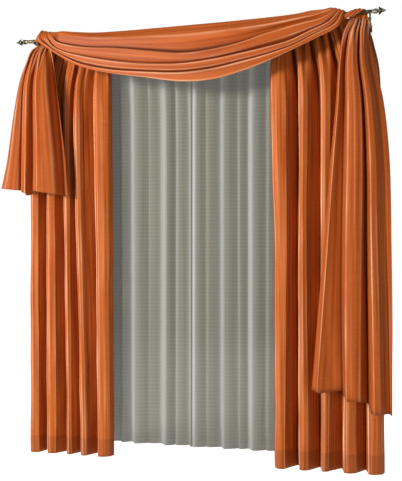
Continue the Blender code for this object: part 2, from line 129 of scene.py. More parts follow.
# %% [markdown]
# A grid becomes a mesh of four-sided faces. Its UV map is the cloth laid flat, in metres,
# with v measured up from the hem, so a weave keeps its thread spacing round every fold and
# a hem can be found by its height. Solidify gives the sheet its thickness to both sides.

# %% From grid to cloth
def mesh_piece(name, points, faces, finish, uv=None, sharp=None):
    """A mesh object at the origin, smooth but for edges above sharp degrees.

    points is an array, faces a list of corners, and uv holds one pair for each point.
    """
    mesh = bpy.data.meshes.new(name)
    mesh.from_pydata(points.tolist(), [], faces)
    if uv is not None:
        corners = np.empty(len(mesh.loops), dtype=np.int32)
        mesh.loops.foreach_get("vertex_index", corners)
        layer = mesh.uv_layers.new(name="cloth")
        layer.data.foreach_set("uv", uv[corners].astype(np.float32).ravel())
    mesh.materials.append(finish)
    mesh.shade_smooth()
    if sharp is not None:
        mesh.set_sharp_from_angle(angle=math.radians(sharp))
    piece = bpy.data.objects.new(name, mesh)
    bpy.context.scene.collection.objects.link(piece)
    return piece


def grid_faces(rows, columns):
    """Four corners for each cell of a grid, turned so that the sheet's front faces out."""
    index = np.arange(rows * columns).reshape(rows, columns)
    cells = np.stack([index[:-1, :-1], index[1:, :-1], index[1:, 1:], index[:-1, 1:]], -1)
    return cells.reshape(-1, 4).tolist()


def cloth(name, grid, thickness, finish, **marks):
    """The sheet in metres, with its flat length and width printed.

    marks are further values at each point of the grid, kept as named attributes.
    """
    rows, columns = grid.shape[:2]
    across, down = lengths(grid, 1), lengths(grid, 0)
    flat_u, flat_v = np.meshgrid(across, down[-1] - down)
    uv = np.stack([flat_u, flat_v], -1).reshape(-1, 2)
    piece = mesh_piece(name, grid.reshape(-1, 3), grid_faces(rows, columns), finish, uv)
    for mark, values in marks.items():
        attribute = piece.data.attributes.new(mark, "FLOAT", "POINT")
        attribute.data.foreach_set("value", values.astype(np.float32).ravel())
    solid = piece.modifiers.new("thickness", "SOLIDIFY")
    solid.thickness = thickness
    solid.offset = 0.0
    print(name, "is", round(across[-1], 2), "m across and", round(down[-1], 2), "m long, laid flat")
    return piece


# %% [markdown]
# Cloth is never quite even. Long shallow ripples, a millimetre or two high, break up the
# highlights on the folds. They are sums of sine waves, so they are the same at every run.
# A crisp cloth also keeps its creases. How sharply the sheet bends tells a crest from a valley:
# a pale highlight is painted on the crest of a fold and a deep brown shade in the valley.
# Close under the rod the gathers are crumpled, with waves of a few millimetres.

# %% Small unevenness
def fade(value, start, end):
    """0 at start, 1 at end, a straight line between them and level beyond them."""
    return np.clip((value - start) / (end - start), 0, 1)


def ripples(across, down, waves):
    """Height of the ripples in metres: for each row of waves, a sine of the two positions.

    A row holds the wave's length across and down in metres, its start in turns and its height.
    """
    height = np.zeros(np.broadcast(across, down).shape)
    for length_across, length_down, start, rise in waves:
        turns = across / length_across + down / length_down + start
        height += rise * np.sin(2 * math.pi * turns)
    return height


def creases(grid, reach=2):
    """How sharply the sheet bends across: above 0 on a crest, below 0 in a valley.

    It is the height of a point in front of the straight line between its neighbours reach
    columns to either side, over half that line's length. The two selvedges count as flat.
    """
    front = normals(grid)
    front = front * np.where(front[..., 1:2] > 0, -1, 1)
    before, here, after = grid[:, :-2 * reach], grid[:, reach:-reach], grid[:, 2 * reach:]
    rise = ((here - (before + after) / 2) * front[:, reach:-reach]).sum(-1)
    half = np.maximum(np.linalg.norm(after - before, axis=-1) / 2, 1e-6)
    return np.pad(rise / half, ((0, 0), (reach, reach)))


PANEL_WAVES = [
    # across, down, start, height
    (0.31, 0.83, 0.10, 0.0012), (-0.17, 0.47, 0.45, 0.0008), (0.11, -0.36, 0.80, 0.0006),
    (0.23, 1.90, 0.30, 0.0014),
]
HEADING_WAVES = [
    # across, down, start, height
    (0.058, 6.00, 0.20, 0.0045), (0.083, -4.00, 0.65, 0.0035),
]

# %% [markdown]
# Colours are written as sRGB hex values, as they would be picked from a colour card, and one
# function turns them into the linear values that the shaders mix. One small helper adds a
# shader node with its settings and its links.

# %% Colours and shader nodes
def linear(hex_colour):
    """sRGB hex to linear: below 0.04045 a straight line, above it a power of 2.4."""
    srgb = np.array([int(hex_colour[i:i + 2], 16) / 255 for i in (1, 3, 5)])
    low = srgb / 12.92
    high = ((srgb + 0.055) / 1.055) ** 2.4
    return (*np.where(srgb <= 0.04045, low, high).tolist(), 1.0)


def node(tree, kind, inputs=None, **settings):
    """Adds a node. settings go on the node itself, inputs on its sockets as values or links."""
    new = tree.nodes.new(kind)
    for name, value in settings.items():
        setattr(new, name, value)
    for name, value in (inputs or {}).items():
        if isinstance(value, bpy.types.NodeSocket):
            tree.links.new(value, new.inputs[name])
        else:
            new.inputs[name].default_value = value
    return new


def finish_named(name):
    """A material with its shader node, ready for its colours."""
    finish = bpy.data.materials.new(name)
    finish.use_nodes = True
    return finish, finish.node_tree, finish.node_tree.nodes["Principled BSDF"]


# %% [markdown]
# The panels and the scarf are woven polyester taffeta: a tight plain weave with a slightly
# thicker weft, dyed terracotta. To the eye it is a smooth cloth with a soft broad sheen on
# every fold that turns to the light, and deep brown shade in the folds. Thicker weft
# threads show as faint short streaks across the cloth, and uneven warp as long faint stripes
# down it. Its threads are 0.2 mm apart, too fine to show, so the ribs are drawn 2.5 mm
# apart. A pale highlight is painted on the crests of the folds, stronger in uneven patches,
# and a deep brown shade is painted in their valleys. Where a hem doubles the cloth, less
# light gets through it, and that shade is painted on the hem as a deeper colour.

# %% Taffeta
RIB_MM = 2.5
SLUB_LENGTH_MM = 60.0
SLUB_WIDTH_MM = 2.0
WARP_LENGTH_MM = 700.0
WARP_WIDTH_MM = 7.0
# Size of the uneven patches, per metre, in which the crests' painted highlight is stronger
HIGHLIGHT_PATCHES_PER_METRE = (9.0, 2.2, 1.0)
# How far the streaks and the ribs count beside the stripes, and the tones that are kept
STREAK_SHARE = 0.3
RIB_SHARE = 0.05
TONES = (0.45, 0.85)
RIB_HEIGHT = 0.0006
# A hem's painted shade, for the light that the doubled cloth keeps back: its colour, how far
# the cloth turns to it, and how wide the hem's line is in metres
HEM_SHADE = "#6d2f12"
HEM_SHADE_SHARE = 0.30
HEM_LINE = 0.004
# Bends at which a crest's painted highlight and a valley's painted shade begin and are full
CREST_BENDS = (0.06, 0.34)
# The crests' painted pale highlight: its colour, its least share, and the noise tones over which it
# grows to its most
CREST_HIGHLIGHT = "#f0bf98"
LEAST_HIGHLIGHT = 0.10
HIGHLIGHT_PATCH_TONES = (0.38, 0.62)
VALLEY_BENDS = (-0.05, -0.28)
# The valleys' painted deep brown shade: its colour and its greatest share
VALLEY_SHADE = "#4a1a08"
VALLEY_SHADE_SHARE = 0.85


def taffeta(name, hem, thin, thick, highlight_share):
    """Taffeta whose hem is so many metres deep, of thin and thick threads.

    The last argument is the most that the crest of a fold turns to its painted pale highlight.
    """
    finish, tree, shader = finish_named(name)
    uv = node(tree, "ShaderNodeUVMap", uv_map="cloth").outputs["UV"]
    place = node(tree, "ShaderNodeSeparateXYZ", {"Vector": uv})
    streak_size = (1000 / SLUB_LENGTH_MM, 1000 / SLUB_WIDTH_MM, 1.0)
    streaks_at = node(tree, "ShaderNodeMapping", {"Vector": uv, "Scale": streak_size})
    streaks = node(tree, "ShaderNodeTexNoise",
                   {"Vector": streaks_at.outputs[0], "Scale": 1.0, "Detail": 2.0})
    warp_size = (1000 / WARP_WIDTH_MM, 1000 / WARP_LENGTH_MM, 1.0)
    warp_at = node(tree, "ShaderNodeMapping", {"Vector": uv, "Scale": warp_size})
    warp = node(tree, "ShaderNodeTexNoise",
                {"Vector": warp_at.outputs[0], "Scale": 1.0, "Detail": 3.0})
    tone = node(tree, "ShaderNodeMath", {0: streaks.outputs[0], 1: STREAK_SHARE,
                                         2: warp.outputs[0]}, operation="MULTIPLY_ADD")
    tone_range = node(tree, "ShaderNodeMapRange", {"Value": tone.outputs[0],
                                                   "From Min": TONES[0], "From Max": TONES[1]})
    colour = node(tree, "ShaderNodeMix", {"Factor": tone_range.outputs[0],
                                          "A": linear(thin), "B": linear(thick)},
                  data_type="RGBA")
    # Painted shade on the hem, where less light gets through the doubled cloth
    in_hem = node(tree, "ShaderNodeMapRange",
                  {"Value": place.outputs["Y"], "From Min": hem, "From Max": hem + HEM_LINE,
                   "To Min": HEM_SHADE_SHARE, "To Max": 0.0})
    hemmed = node(tree, "ShaderNodeMix", {"Factor": in_hem.outputs[0],
                                          "A": colour.outputs["Result"], "B": linear(HEM_SHADE)},
                  data_type="RGBA")
    ribs = node(tree, "ShaderNodeMath",
                {0: place.outputs["Y"], 1: 2 * math.pi * 1000 / RIB_MM}, operation="MULTIPLY")
    rib = node(tree, "ShaderNodeMath", {0: ribs.outputs[0]}, operation="SINE")
    height = node(tree, "ShaderNodeMath", {0: rib.outputs[0], 1: RIB_SHARE,
                                           2: tone.outputs[0]}, operation="MULTIPLY_ADD")
    bump = node(tree, "ShaderNodeBump", {"Height": height.outputs[0], "Distance": RIB_HEIGHT,
                                         "Strength": 0.35})
    # A pale highlight is painted on the crests and a deep brown shade in the valleys, both by how
    # sharply the cloth bends
    crease = node(tree, "ShaderNodeAttribute", attribute_name="crease").outputs["Fac"]
    highlight_patches_at = node(tree, "ShaderNodeMapping", {"Vector": uv, "Scale": HIGHLIGHT_PATCHES_PER_METRE})
    highlight_patches = node(tree, "ShaderNodeTexNoise",
                {"Vector": highlight_patches_at.outputs[0], "Scale": 1.0, "Detail": 2.0})
    # How much painted highlight each uneven patch gets
    rubbed = node(tree, "ShaderNodeMapRange",
                  {"Value": highlight_patches.outputs[0], "From Min": HIGHLIGHT_PATCH_TONES[0],
                   "From Max": HIGHLIGHT_PATCH_TONES[1], "To Min": LEAST_HIGHLIGHT, "To Max": highlight_share})
    crest_highlight = node(tree, "ShaderNodeMapRange",
                 {"Value": crease, "From Min": CREST_BENDS[0], "From Max": CREST_BENDS[1],
                  "To Max": rubbed.outputs[0]})
    crest = node(tree, "ShaderNodeMix", {"Factor": crest_highlight.outputs[0],
                                         "A": hemmed.outputs["Result"], "B": linear(CREST_HIGHLIGHT)},
                 data_type="RGBA")
    shade = node(tree, "ShaderNodeMapRange",
                 {"Value": crease, "From Min": VALLEY_BENDS[0], "From Max": VALLEY_BENDS[1],
                  "To Max": VALLEY_SHADE_SHARE})
    creased = node(tree, "ShaderNodeMix", {"Factor": shade.outputs[0],
                                           "A": crest.outputs["Result"], "B": linear(VALLEY_SHADE)},
                   data_type="RGBA")
    tree.links.new(creased.outputs["Result"], shader.inputs["Base Color"])
    tree.links.new(bump.outputs[0], shader.inputs["Normal"])
    shader.inputs["Roughness"].default_value = 0.50
    shader.inputs["Specular IOR Level"].default_value = 0.14
    shader.inputs["Sheen Weight"].default_value = 0.07
    shader.inputs["Sheen Roughness"].default_value = 0.35
    shader.inputs["Sheen Tint"].default_value = linear("#ffd2ae")
    print(name, "has ribs", RIB_MM, "mm apart and a hem of", round(hem * 1000), "mm")
    return finish


PANEL_HEM = 0.100
SCARF_HEM = 0.012
panel_taffeta = taffeta("terracotta_taffeta_woven", PANEL_HEM, "#944012", "#c46a2e", 0.72)
scarf_taffeta = taffeta("terracotta_taffeta_scarf", SCARF_HEM, "#8c3b0e", "#b65b22", 0.42)

# %% [markdown]
# The sheer is a voile of fine grey polyester. Seen face on it is a quiet grey, and where
# a fold turns edge on, more threads lie behind each other and it looks paler. The steep face
# of each fold is painted paler for that, and also as a painted highlight where it catches
# the light. The shader's sheen does the same: it grows as the surface turns away. The weft
# shows as fine level lines, drawn 22 mm apart because the real 0.5 mm can't be seen from
# across a room.

# %% Voile
WEFT_LINE_MM = 22.0
VOILE_HEM = 0.035
VOILE_HEM_LINE = 0.003
VOILE_HEM_SHARE = 0.04
VOILE_WARP_PER_METRE = (90.0, 1.2, 1.0)
WEFT_SHARE = 0.14
VOILE_COVER = 0.72


def voile_cloth(name, hem):
    """Fine grey voile, nearly closed to the eye, lighter in its double hem."""
    finish, tree, shader = finish_named(name)
    uv = node(tree, "ShaderNodeUVMap", uv_map="cloth").outputs["UV"]
    place = node(tree, "ShaderNodeSeparateXYZ", {"Vector": uv})
    lines = node(tree, "ShaderNodeMath",
                 {0: place.outputs["Y"], 1: 2 * math.pi * 1000 / WEFT_LINE_MM},
                 operation="MULTIPLY")
    line = node(tree, "ShaderNodeMath", {0: lines.outputs[0]}, operation="SINE")
    warp_at = node(tree, "ShaderNodeMapping", {"Vector": uv, "Scale": VOILE_WARP_PER_METRE})
    warp = node(tree, "ShaderNodeTexNoise",
                {"Vector": warp_at.outputs[0], "Scale": 1.0, "Detail": 2.0})
    tone = node(tree, "ShaderNodeMath", {0: line.outputs[0], 1: WEFT_SHARE,
                                         2: warp.outputs[0]}, operation="MULTIPLY_ADD")
    tone_range = node(tree, "ShaderNodeMapRange",
                      {"Value": tone.outputs[0], "From Min": 0.2, "From Max": 0.8})
    colour = node(tree, "ShaderNodeMix", {"Factor": tone_range.outputs[0],
                                          "A": linear("#615f4a"), "B": linear("#73715d")},
                  data_type="RGBA")
    in_hem = node(tree, "ShaderNodeMapRange",
                  {"Value": place.outputs["Y"], "From Min": hem,
                   "From Max": hem + VOILE_HEM_LINE, "To Min": VOILE_HEM_SHARE, "To Max": 0.0})
    hemmed = node(tree, "ShaderNodeMix", {"Factor": in_hem.outputs[0],
                                          "A": colour.outputs["Result"], "B": linear("#c9cac3")},
                  data_type="RGBA")
    # The painted highlight on the steep faces, partly standing for denser threads seen edge on
    pale = node(tree, "ShaderNodeAttribute", attribute_name="pale")
    edged = node(tree, "ShaderNodeMix", {"Factor": pale.outputs["Fac"],
                                         "A": hemmed.outputs["Result"], "B": linear("#a3a49e")},
                 data_type="RGBA")
    bump = node(tree, "ShaderNodeBump", {"Height": line.outputs[0], "Distance": 0.0004,
                                         "Strength": 0.3})
    tree.links.new(edged.outputs["Result"], shader.inputs["Base Color"])
    tree.links.new(bump.outputs[0], shader.inputs["Normal"])
    shader.inputs["Roughness"].default_value = 0.6
    shader.inputs["Alpha"].default_value = VOILE_COVER
    shader.inputs["Sheen Weight"].default_value = 0.10
    shader.inputs["Sheen Roughness"].default_value = 0.3
    print(name, "has weft lines", WEFT_LINE_MM, "mm apart and a hem of", round(hem * 1000), "mm")
    return finish


grey_voile = voile_cloth("grey_voile_woven", VOILE_HEM)

# %% [markdown]
# Rods, brackets and finials are bronzed steel: a dark patina rubbed back to paler metal in
# patches. It reflects like metal with a soft, slightly uneven gloss.

# %% Bronze
PATCHES_PER_METRE = 60.0
GLOSS_CHANGE = 0.08


def bronzed_steel(name, dark, pale, roughness):
    """Patinated metal: dark, and pale and glossier where one noise says that it is rubbed."""
    finish, tree, shader = finish_named(name)
    place = node(tree, "ShaderNodeTexCoord").outputs["Object"]
    rubbed = node(tree, "ShaderNodeTexNoise", {"Vector": place, "Scale": PATCHES_PER_METRE,
                                               "Detail": 3.0})
    share = node(tree, "ShaderNodeMapRange",
                 {"Value": rubbed.outputs[0], "From Min": 0.42, "From Max": 0.68})
    colour = node(tree, "ShaderNodeMix", {"Factor": share.outputs[0], "A": linear(dark),
                                          "B": linear(pale)}, data_type="RGBA")
    gloss = node(tree, "ShaderNodeMapRange",
                 {"Value": rubbed.outputs[0], "To Min": roughness + GLOSS_CHANGE,
                  "To Max": roughness - GLOSS_CHANGE})
    bump = node(tree, "ShaderNodeBump", {"Height": rubbed.outputs[0], "Distance": 0.0002,
                                         "Strength": 0.3})
    tree.links.new(colour.outputs["Result"], shader.inputs["Base Color"])
    tree.links.new(gloss.outputs[0], shader.inputs["Roughness"])
    tree.links.new(bump.outputs[0], shader.inputs["Normal"])
    shader.inputs["Metallic"].default_value = 1.0
    print("finish made:", name)
    return finish


bronze = bronzed_steel("bronzed_steel_patinated", "#4a3f2c", "#8b7a58", 0.36)
rubbed_bronze = bronzed_steel("bronzed_steel_rubbed_pale", "#2e281c", "#f3e9cc", 0.20)

# %% [markdown]
# Rods and finials are turned: a profile of distance and radius is carried once round the
# rod's axis. The rods get a small round on each end, and the finials the barbed arrowhead
# of the photograph. Sixty-four facets round them are smooth at any distance.

# %% Turned pieces
FRONT_ROD_RADIUS = 0.0095
FRONT_ROD_END = 0.985
BACK_ROD_RADIUS = 0.008
PANEL_ROD_Y = 0.105
VOILE_ROD_Y = 0.190
BACK_ROD_LEFT = -0.953
BACK_ROD_RIGHT = 0.987
ROUND_SIDES = 64
TURNED_SHARP_DEGREES = 35


def turned(name, profile, y, finish):
    """The profile's x and radius turned round an axis along X at a distance y from the origin."""
    x, radius = np.array(profile).T
    angle = np.arange(ROUND_SIDES) * 2 * math.pi / ROUND_SIDES
    points = np.empty((len(x), ROUND_SIDES, 3))
    points[..., 0] = x[:, None]
    points[..., 1] = y + radius[:, None] * np.cos(angle)
    points[..., 2] = radius[:, None] * np.sin(angle)
    index = np.arange(len(x) * ROUND_SIDES).reshape(len(x), ROUND_SIDES)
    turn = np.roll(index, -1, axis=1)
    sides = np.stack([index[:-1], turn[:-1], turn[1:], index[1:]], -1).reshape(-1, 4)
    ends = np.array([[x[0], y, 0.0], [x[-1], y, 0.0]])
    first, last = index.size, index.size + 1
    start = np.stack([turn[0], index[0], np.full(ROUND_SIDES, first)], -1)
    end = np.stack([index[-1], turn[-1], np.full(ROUND_SIDES, last)], -1)
    faces = sides.tolist() + start.tolist() + end.tolist()
    if x[-1] < x[0]:
        faces = [face[::-1] for face in faces]
    print(name, "turned with", len(x), "rings")
    return mesh_piece(name, np.vstack([points.reshape(-1, 3), ends]), faces, finish,
                      sharp=TURNED_SHARP_DEGREES)


def rod_profile(left, right, radius, rounding=0.0015):
    """A plain rod whose ends are rounded off by a quarter circle."""
    turn = np.linspace(0, math.pi / 2, 5)
    inset, drop = rounding * (1 - np.cos(turn)), rounding * (1 - np.sin(turn))
    start = np.stack([left + inset, radius - drop], -1)
    end = start[::-1].copy()
    end[:, 0] = right - (end[:, 0] - left)
    return np.vstack([start, end])


FINIAL_PROFILE = [
    # distance outward from the rod's end, radius
    (0.0003, 0.0096), (0.0006, 0.0100), (0.0124, 0.0100), (0.0132, 0.0112), (0.0150, 0.0127),
    (0.0162, 0.0130), (0.0308, 0.0130), (0.0322, 0.0126), (0.0338, 0.0100), (0.0350, 0.0085),
    (0.0375, 0.0080), (0.0410, 0.0080), (0.0396, 0.0130), (0.0383, 0.0186), (0.0384, 0.0196),
    (0.0398, 0.0201), (0.0412, 0.0199), (0.0480, 0.0163), (0.0560, 0.0115), (0.0630, 0.0078),
    (0.0700, 0.0045), (0.0745, 0.0024), (0.0765, 0.0012), (0.0770, 0.0004),
]

front_rod = turned("rod_front", rod_profile(-FRONT_ROD_END, FRONT_ROD_END, FRONT_ROD_RADIUS),
                   0.0, bronze)
panel_rod = turned("rod_for_panels", rod_profile(BACK_ROD_LEFT, BACK_ROD_RIGHT, BACK_ROD_RADIUS),
                   PANEL_ROD_Y, bronze)
voile_rod = turned("rod_for_voile", rod_profile(BACK_ROD_LEFT, BACK_ROD_RIGHT, BACK_ROD_RADIUS),
                   VOILE_ROD_Y, bronze)
finials = {}
for side, sign in (("left", -1), ("right", 1)):
    profile = [(sign * (FRONT_ROD_END + x), radius) for x, radius in FINIAL_PROFILE]
    finials[side] = turned("arrow_finial_" + side, profile, 0.0, rubbed_bronze)

# %% [markdown]
# The two panels share the thin rod behind the front one. Each is one 1.40 m width of cloth
# gathered on a pocket, and its gathers open into five main folds. Taffeta is crisp,
# so a fold is not a round tube but a few flat faces with soft corners between them: a
# narrow face turned to the light, a wider front face turned a little from it, a long side
# in shade that runs back into the valley, and a steep side that comes forward again.
# A table gives where each fold's ridge starts and ends at three heights, how far forward
# it stands, how deep its valley lies and how its faces share its width.

# %% The panels' folds
PANEL_THICKNESS = 0.0012
VOILE_THICKNESS = 0.0010
SCARF_THICKNESS = 0.0010
GAP = 0.0003
PANEL_HEM_Z = -2.440
POCKET_PLEAT = 0.013

PANEL_FOLDS = {
    "left": [
        # left_top, left_mid, left_hem, right_top, right_mid, right_hem, front_y, valley_y,
        # crest, shoulder, bulge
        (-0.998, -1.004, -1.001, -0.955, -0.953, -0.946, 0.052, 0.150, 0.34, 0.13, 0.0),
        (-0.895, -0.896, -0.893, -0.846, -0.842, -0.836, 0.049, 0.148, 0.36, 0.14, 0.0),
        (-0.792, -0.781, -0.767, -0.757, -0.749, -0.735, 0.054, 0.140, 0.46, 0.16, 0.1),
        (-0.726, -0.704, -0.675, -0.676, -0.657, -0.628, 0.050, 0.150, 0.40, 0.30, 0.5),
        (-0.599, -0.580, -0.567, -0.512, -0.506, -0.498, 0.051, 0.105, 0.28, 0.45, 0.4),
    ],
    "right": [
        (0.449, 0.473, 0.477, 0.532, 0.538, 0.528, 0.051, 0.150, 0.38, 0.07, 0.0),
        (0.603, 0.600, 0.603, 0.650, 0.646, 0.655, 0.049, 0.145, 0.44, 0.14, 0.0),
        (0.722, 0.723, 0.724, 0.775, 0.770, 0.765, 0.052, 0.148, 0.38, 0.15, 0.1),
        (0.838, 0.838, 0.841, 0.908, 0.901, 0.910, 0.049, 0.150, 0.32, 0.22, 0.3),
        (0.958, 0.958, 0.970, 1.026, 1.031, 1.044, 0.054, 0.110, 0.30, 0.40, 0.3),
    ],
}
PANEL_VALLEY_LEAD = {"left": 0.020, "right": 0.012}
PANEL_HEADING = {"left": (-0.925, -0.505), "right": (0.455, 0.962)}
PANEL_EDGE = {"left": (-0.006, 0.014), "right": (-0.010, 0.012)}
PANEL_EDGE_Y = 0.095
LIT_FACE_DEPTH = 0.12
PANEL_CRISP = 0.6
CORNER = 0.06
FOLD_COLUMNS = 12
# Past the ridge: place between its right edge, 1, and the valley, 2, and share of the way back
VALLEY_SIDE = [(1.10, 0.16), (1.45, 0.50), (1.80, 0.86), (2.00, 1.00)]
SHOULDER_ROUND = 0.035
# The steep side's one column: share of its way across and of its way forward
STEEP_ACROSS = 0.80
STEEP_FORWARD = 0.55
# Share of the drop and height of each section below the heading
PANEL_ROWS = [(0.22, -0.78), (0.45, -1.20), (0.64, -1.55), (0.80, -1.90), (0.92, -2.20),
              (0.965, -2.34), (1.0, PANEL_HEM_Z)]


def panel_section(side, share):
    """x and y of each column at a share of the drop, 0 about 0.4 m down and 1 at the hem.

    A fold's columns run from its ridge's left edge, 0, over the ridge's right edge, 1, to
    the valley, 2, and last comes the steep side before the next ridge. Depth is a share of
    the way from the front to the valley: it falls to 0 at the crest, rises to the shoulder
    at the ridge's right edge and goes on to 1.
    """
    table = np.array(PANEL_FOLDS[side])
    left = np.array([np.interp(share, (0.0, 0.5, 1.0), row[0:3]) for row in table])
    right = np.array([np.interp(share, (0.0, 0.5, 1.0), row[3:6]) for row in table])
    front, back, crest, shoulder, bulge = table[:, 6:].T
    edge_left, edge_right = PANEL_EDGE[side]
    valley = np.append(left[1:] - PANEL_VALLEY_LEAD[side], right[-1] + edge_right)
    one = np.ones(len(table))
    middle = (crest + 1) / 2
    ridge_at = [0 * one, 0.5 * crest, crest - CORNER, crest + CORNER, middle, one - CORNER, one]
    ridge_deep = [LIT_FACE_DEPTH * one, 0.44 * LIT_FACE_DEPTH * one, 0.01 * one,
                  0.06 * shoulder, 0.5 * shoulder * (1 - bulge), 0.86 * shoulder,
                  shoulder + SHOULDER_ROUND]
    at = np.stack(ridge_at + [place * one for place, back_share in VALLEY_SIDE], -1)
    deep = np.stack(ridge_deep + [shoulder + (1 - shoulder) * back_share
                                  for place, back_share in VALLEY_SIDE], -1)
    on_ridge = left[:, None] + (right - left)[:, None] * at
    past_ridge = right[:, None] + (valley - right)[:, None] * (at - 1)
    x = np.where(at <= 1, on_ridge, past_ridge)
    y = front[:, None] + (back - front)[:, None] * deep
    before_x = np.append(left[0] + edge_left, valley[:-1])
    before_y = np.append(PANEL_EDGE_Y, back[:-1])
    steep_x = before_x + (left - before_x) * STEEP_ACROSS
    steep_y = before_y + (y[:, 0] - before_y) * STEEP_FORWARD
    x = np.hstack([steep_x[:, None], x]).ravel()
    y = np.hstack([steep_y[:, None], y]).ravel()
    return np.append(before_x[0], x), np.append(before_y[0], y)


# %% [markdown]
# Above the folds the cloth goes up the back of its rod, over it and down the front, drawn
# into small even gathers. Between 3 and 33 cm below the rod the gathers open into the folds.
# The same net serves the sheer.

# %% A curtain on its rod
# Angle round the rod from its back over its top to its front, and the gathers' share there
POCKET_ROWS = [(-45, 0.3), (5, 0.9), (48, 1.0), (90, 1.0), (132, 1.0), (175, 1.0)]
# Height below the rod's axis and how far the gathers have opened into the folds
HANG_ROWS = [(-0.030, 0.00), (-0.070, 0.22), (-0.150, 0.52), (-0.330, 0.93)]
# Half the angle between two rows of the pocket, in degrees: a straight face clears the rod
POCKET_HALF_STEP = 25
# Metres below the rod between which the folds' ripples grow, the heading's waves grow and
# fade, and the painted highlight on the crests grows, of which the gathers in the swag's
# shade keep a small share
RIPPLES_GROW = (0.15, 0.55)
HEADING_GROWS, HEADING_FADES = (0.02, 0.07), (0.42, 0.17)
HIGHLIGHT_GROWS, GATHERS_HIGHLIGHT_SHARE = (0.10, 0.40), 0.15


def hanging_net(section, heading, rod_y, thickness, gathers, lower_rows):
    """Net of a curtain from the back of its rod pocket to its hem.

    section(share) gives x and y of every column at a share of the drop, and gathers is
    1 on the crest of each small gather of the heading and 0 between them.
    """
    seat = (BACK_ROD_RADIUS + GAP + thickness / 2) / math.cos(math.radians(POCKET_HALF_STEP))
    fold_x, fold_y = section(0.0)
    heading_x = np.linspace(*heading, len(fold_x))
    rows = []
    for degrees, share in POCKET_ROWS:
        radius = seat + POCKET_PLEAT * share * gathers
        angle = math.radians(degrees)
        rows.append((heading_x, rod_y + radius * math.cos(angle), radius * math.sin(angle)))
    gather_y = rod_y - seat - POCKET_PLEAT * gathers
    for z, share in HANG_ROWS:
        rows.append((heading_x + (fold_x - heading_x) * share,
                     gather_y + (fold_y - gather_y) * share, np.full(len(fold_x), z)))
    for share, z in lower_rows:
        x, y = section(share)
        rows.append((x, y, np.full(len(x), z)))
    return np.array([np.stack(row, -1) for row in rows])


def crests(count, width=2):
    """1 on the crest of each gather and 0 between them, width columns from crest to crest."""
    return 0.5 - 0.5 * np.cos(2 * math.pi * np.arange(count) / width)


def panel(side):
    """One panel: its net, its smooth sheet and the ripples along its folds."""
    count = len(panel_section(side, 0.0)[0])
    net = hanging_net(lambda share: panel_section(side, share), PANEL_HEADING[side],
                      PANEL_ROD_Y, PANEL_THICKNESS, crests(count, FOLD_COLUMNS / 2), PANEL_ROWS)
    grid = surface(net, 6, 4, PANEL_CRISP)
    across, below = lengths(grid, 1)[None, :], -grid[..., 2]
    height = ripples(across, -below, PANEL_WAVES) * fade(below, *RIPPLES_GROW)
    near_rod = fade(below, *HEADING_GROWS) * fade(below, *HEADING_FADES)
    height += ripples(across, -below, HEADING_WAVES) * near_rod
    grid = grid + normals(grid) * height[..., None]
    # Painted highlight on the crests, held to a small share in the gathers under the swag, where
    # its shade falls
    crease = creases(grid)
    highlight_share = np.maximum(fade(below, *HIGHLIGHT_GROWS), GATHERS_HIGHLIGHT_SHARE)
    crease = np.where(crease > 0, crease * highlight_share, crease)
    return cloth("taffeta_panel_" + side, grid, PANEL_THICKNESS, panel_taffeta, crease=crease)


panels = {side: panel(side) for side in ("left", "right")}

# %% [markdown]
# The sheer hangs across the whole width on the rod nearest the wall. Each of its folds is a
# sawtooth: a wide face that falls back slowly to the right, and a narrow steep face that
# comes forward to the next crest. An attribute paints the steep face paler: partly because
# more threads lie behind each other there, partly as a painted highlight.

# %% The sheer
VOILE_HEM_Z = -2.378
VOILE_HEADING = (-0.905, 0.935)
VOILE_FOLDS = [
    # left and right of the steep face, front_y, back_y, how strong its painted highlight is
    (-0.885, -0.860, 0.163, 0.204, 0.9), (-0.765, -0.752, 0.182, 0.198, 0.3),
    (-0.705, -0.678, 0.164, 0.206, 1.0), (-0.600, -0.586, 0.180, 0.198, 0.3),
    (-0.486, -0.468, 0.176, 0.202, 0.25), (-0.413, -0.379, 0.162, 0.206, 1.0),
    (-0.300, -0.294, 0.188, 0.194, 0.10), (-0.223, -0.180, 0.161, 0.204, 0.85),
    (-0.130, -0.116, 0.181, 0.194, 0.50), (-0.050, -0.034, 0.166, 0.200, 0.9),
    (-0.026, -0.008, 0.162, 0.171, 1.0), (0.050, 0.064, 0.178, 0.188, 0.10),
    (0.132, 0.160, 0.162, 0.206, 0.9), (0.236, 0.250, 0.182, 0.194, 0.25),
    (0.297, 0.328, 0.161, 0.204, 1.0), (0.404, 0.418, 0.178, 0.192, 0.15),
    (0.484, 0.510, 0.164, 0.208, 0.9), (0.596, 0.612, 0.182, 0.196, 0.3),
    (0.670, 0.696, 0.163, 0.206, 1.0), (0.786, 0.800, 0.181, 0.196, 0.3),
    (0.858, 0.884, 0.163, 0.206, 0.9),
]
VOILE_END = (0.915, 0.205)
VOILE_CRISP = 0.3
VOILE_ROWS = [(0.5, -1.30), (1.0, VOILE_HEM_Z)]
# The two columns on a wide face: share of its width and share of its way back
WIDE_FACE = [(0.12, 0.02), (0.55, 0.40)]
# How much of the steep face's painted highlight its two edges and the wide face's first column have
EDGE_HIGHLIGHT_SHARE = 0.45
FACE_HIGHLIGHT_SHARE = 0.30
VOILE_SWAY = 0.005


